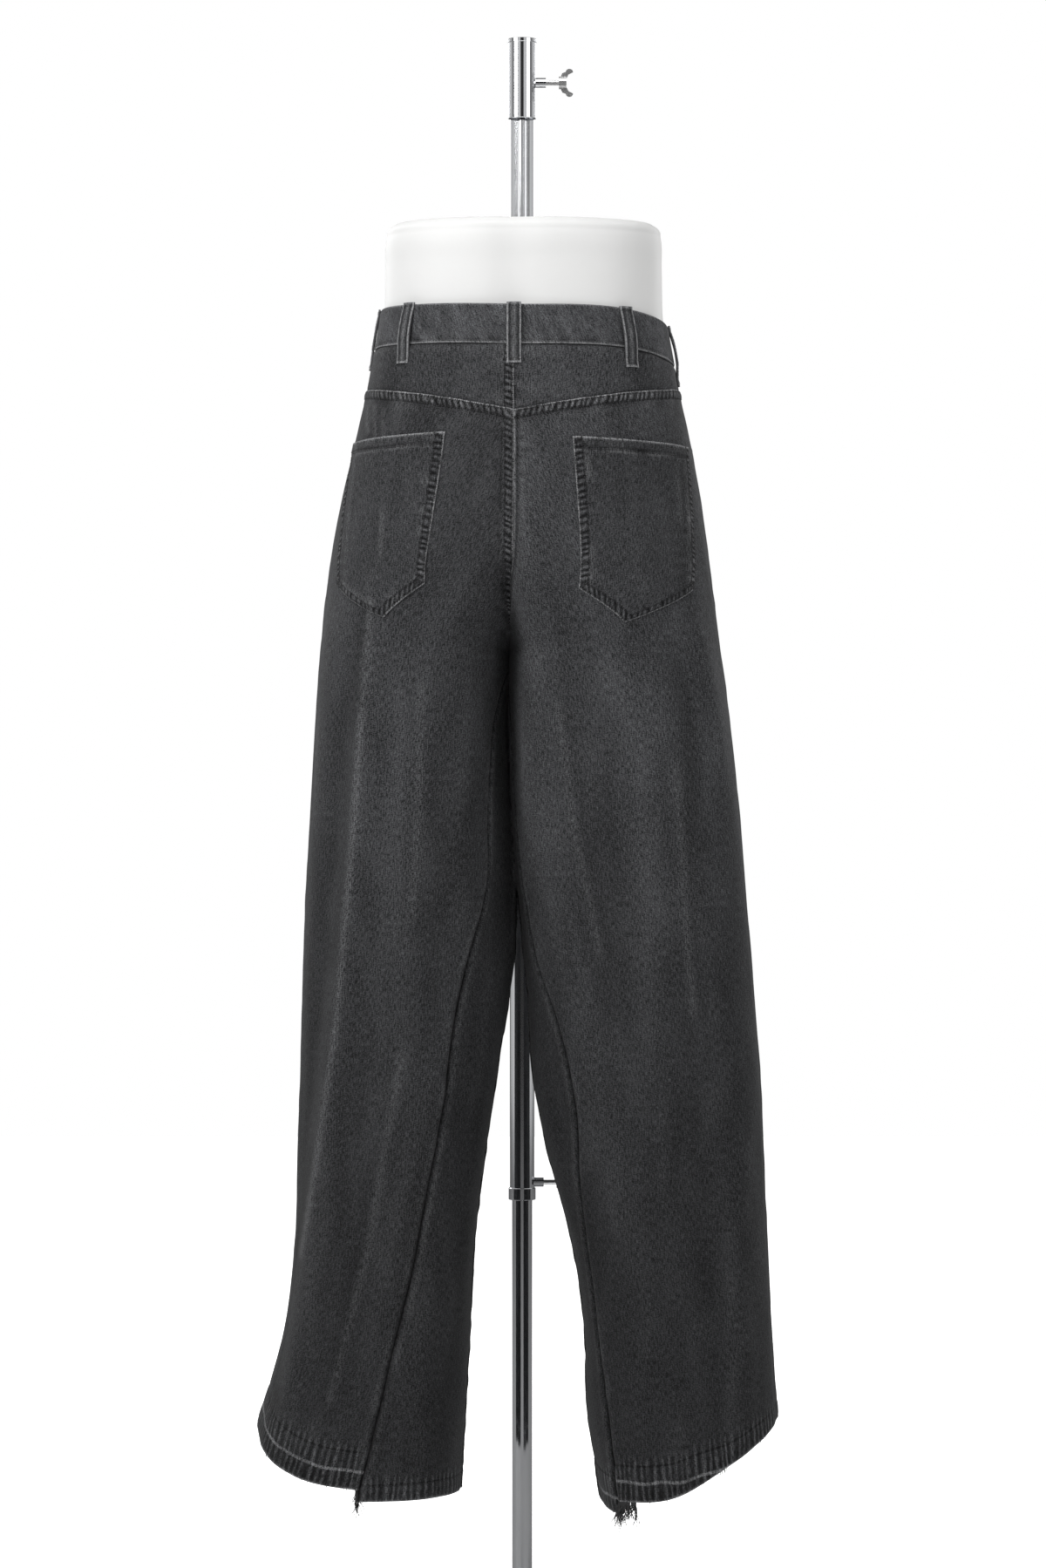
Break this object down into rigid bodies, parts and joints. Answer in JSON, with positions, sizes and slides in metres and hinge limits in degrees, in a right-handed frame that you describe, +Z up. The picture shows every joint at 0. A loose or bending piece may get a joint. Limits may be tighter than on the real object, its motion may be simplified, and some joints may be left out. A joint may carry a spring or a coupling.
{
  "type": "baggy jeans on a dress form stand",
  "caption": "Long baggy denim jeans with a pieced inner leg and let-down hems, worn by a white limbless dress form that hangs on a height-adjustable chrome pole stand.",
  "frame": {"origin": "centre of the base plate's underside, on the floor", "axes": "+Z up, +X towards the wearer's left, -Y the way the garment's front faces"},
  "size_m": [0.5165, 0.3565, 1.6145],
  "materials": {
    "denim": "washed black twill",
    "denim_band": "washed black twill, more faded",
    "button_metal": "aged, satin",
    "form_shell": "smooth white satin",
    "chrome": "polished",
    "zinc": "cast, matte"
  },
  "bodies": {
    "stand": {"base_plate": "chrome", "pole_socket": "chrome", "inner_pole": "chrome"},
    "carriage": {"outer_tube": "chrome", "hanger": "chrome", "form_rod": "chrome", "dress_form": "form_shell", "waist_button": "button_metal", "back_left": "denim", "back_right": "denim", "gusset_left": "denim", "gusset_right": "denim", "front_left": "denim", "front_right": "denim", "yoke_left": "denim", "yoke_right": "denim", "pocket_facing_left": "denim", "pocket_facing_right": "denim", "back_pocket_left": "denim", "back_pocket_right": "denim", "fly_shield": "denim", "waistband": "denim_band", "belt_loop_back": "denim_band", "belt_loop_back_left": "denim_band", "belt_loop_back_right": "denim_band", "belt_loop_side_left": "denim_band", "belt_loop_side_right": "denim_band", "belt_loop_front_left": "denim_band", "belt_loop_front_right": "denim_band"},
    "lower_screw": {"wing_screw_lower": "zinc"},
    "upper_screw": {"wing_screw_upper": "zinc"}
  },
  "joints": [
    {"name": "mast_slide", "type": "slide", "parent": "stand", "child": "carriage", "axis": [0, 0, 1], "range_m": [-0.1, 0.25]},
    {"name": "lower_screw_turn", "type": "hinge", "parent": "carriage", "child": "lower_screw", "pos_m": [-0.0352, -0.1, 0.4635], "axis": [-1, 0, 0], "continuous": true},
    {"name": "upper_screw_turn", "type": "hinge", "parent": "carriage", "child": "upper_screw", "pos_m": [-0.0366, 0.055, 1.571], "axis": [-1, 0, 0], "continuous": true}
  ]
}
